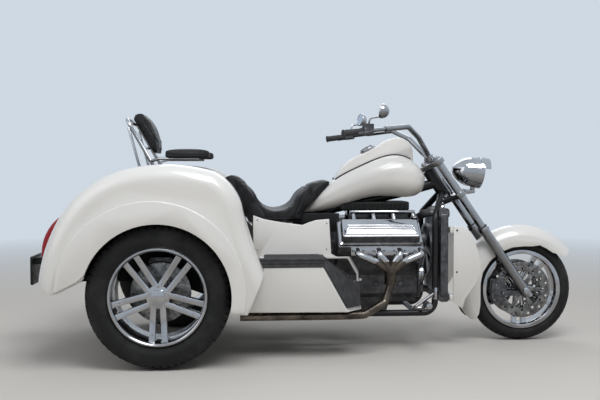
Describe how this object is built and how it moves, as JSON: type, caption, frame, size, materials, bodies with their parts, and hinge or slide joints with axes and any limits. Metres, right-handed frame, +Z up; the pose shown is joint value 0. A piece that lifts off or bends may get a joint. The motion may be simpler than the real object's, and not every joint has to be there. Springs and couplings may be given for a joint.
{
  "type": "three-wheeled cruiser motorcycle",
  "caption": "Long low three-wheeled cruiser with a raked fork, V8 engine, side boards, saddle, passenger seat and a wide rear body with a lidded boot.",
  "frame": {"origin": "On the ground, under the middle of the length and width", "axes": "+X forward, +Y to the rider's left, +Z up; the three axles at rest lie along Y"},
  "size_m": [3.278, 1.592, 1.4309],
  "materials": {
    "body_paint": "glossy pearl white",
    "seat_leather": "smooth black",
    "chrome": "polished",
    "engine_metal": "cast, satin",
    "frame_paint": "satin black",
    "dark_steel": "dark satin",
    "disc_steel": "machined",
    "tyre_rubber": "matt black",
    "grip_rubber": "matt charcoal",
    "black_plastic": "satin black",
    "lamp_glass": "clear",
    "lamp_red": "dark red gloss"
  },
  "bodies": {
    "chassis": {"arm_pads": "seat_leather", "back_pad": "seat_leather", "back_rest_bar": "chrome", "engine_block": "engine_metal", "exhaust": "chrome", "foot_controls": "chrome", "frame_cradle": "frame_paint", "frame_spine": "frame_paint", "front_drive": "engine_metal", "fuel_tank": "body_paint", "gearbox": "engine_metal", "intake": "chrome", "passenger_seat": "seat_leather", "plate_bracket": "black_plastic", "radiator": "dark_steel", "radiator_cowl": "body_paint", "radiator_hose": "grip_rubber", "rear_axle": "dark_steel", "rear_body": "body_paint", "rider_seat": "seat_leather", "rocker_covers": "chrome", "shocks": "dark_steel", "side_panel_left": "body_paint", "side_panel_right": "body_paint", "speedometer": "chrome", "step_mats": "grip_rubber", "tail_lights": "lamp_red", "tank_console": "body_paint"},
    "steering": {"fork_clamps": "chrome", "fork_legs": "chrome", "front_axle": "chrome", "front_calipers": "dark_steel", "front_fender": "body_paint", "handlebar": "chrome", "grips": "grip_rubber", "hand_controls": "dark_steel", "mirrors": "chrome", "headlight": "chrome", "headlight_bracket": "chrome", "headlight_glass": "lamp_glass"},
    "front_wheel": {"front_tyre": "tyre_rubber", "front_rim": "chrome", "front_discs": "disc_steel"},
    "rear_wheel_left": {"rear_tyre_left": "tyre_rubber", "rear_rim_left": "chrome", "rear_brake_disc_left": "disc_steel"},
    "rear_wheel_right": {"rear_tyre_right": "tyre_rubber", "rear_rim_right": "chrome", "rear_brake_disc_right": "disc_steel"},
    "boot_lid": {"boot_lid": "body_paint"}
  },
  "joints": [
    {"name": "steering_turn", "type": "hinge", "parent": "chassis", "child": "steering", "pos_m": [1.2696, 0, 0.2859], "axis": [-0.5678, 0, 0.8231], "range_deg": [-28, 28]},
    {"name": "front_wheel_spin", "type": "hinge", "parent": "steering", "child": "front_wheel", "pos_m": [1.319, 0, 0.32], "axis": [0, 1, 0], "continuous": true},
    {"name": "rear_wheel_left_spin", "type": "hinge", "parent": "chassis", "child": "rear_wheel_left", "pos_m": [-0.849, 0.6, 0.39], "axis": [0, 1, 0], "continuous": true},
    {"name": "rear_wheel_right_spin", "type": "hinge", "parent": "chassis", "child": "rear_wheel_right", "pos_m": [-0.849, -0.6, 0.39], "axis": [0, 1, 0], "continuous": true},
    {"name": "boot_lid_lift", "type": "hinge", "parent": "chassis", "child": "boot_lid", "pos_m": [-1.031, 0, 1.003], "axis": [0, 1, 0], "range_deg": [0, 60]}
  ]
}
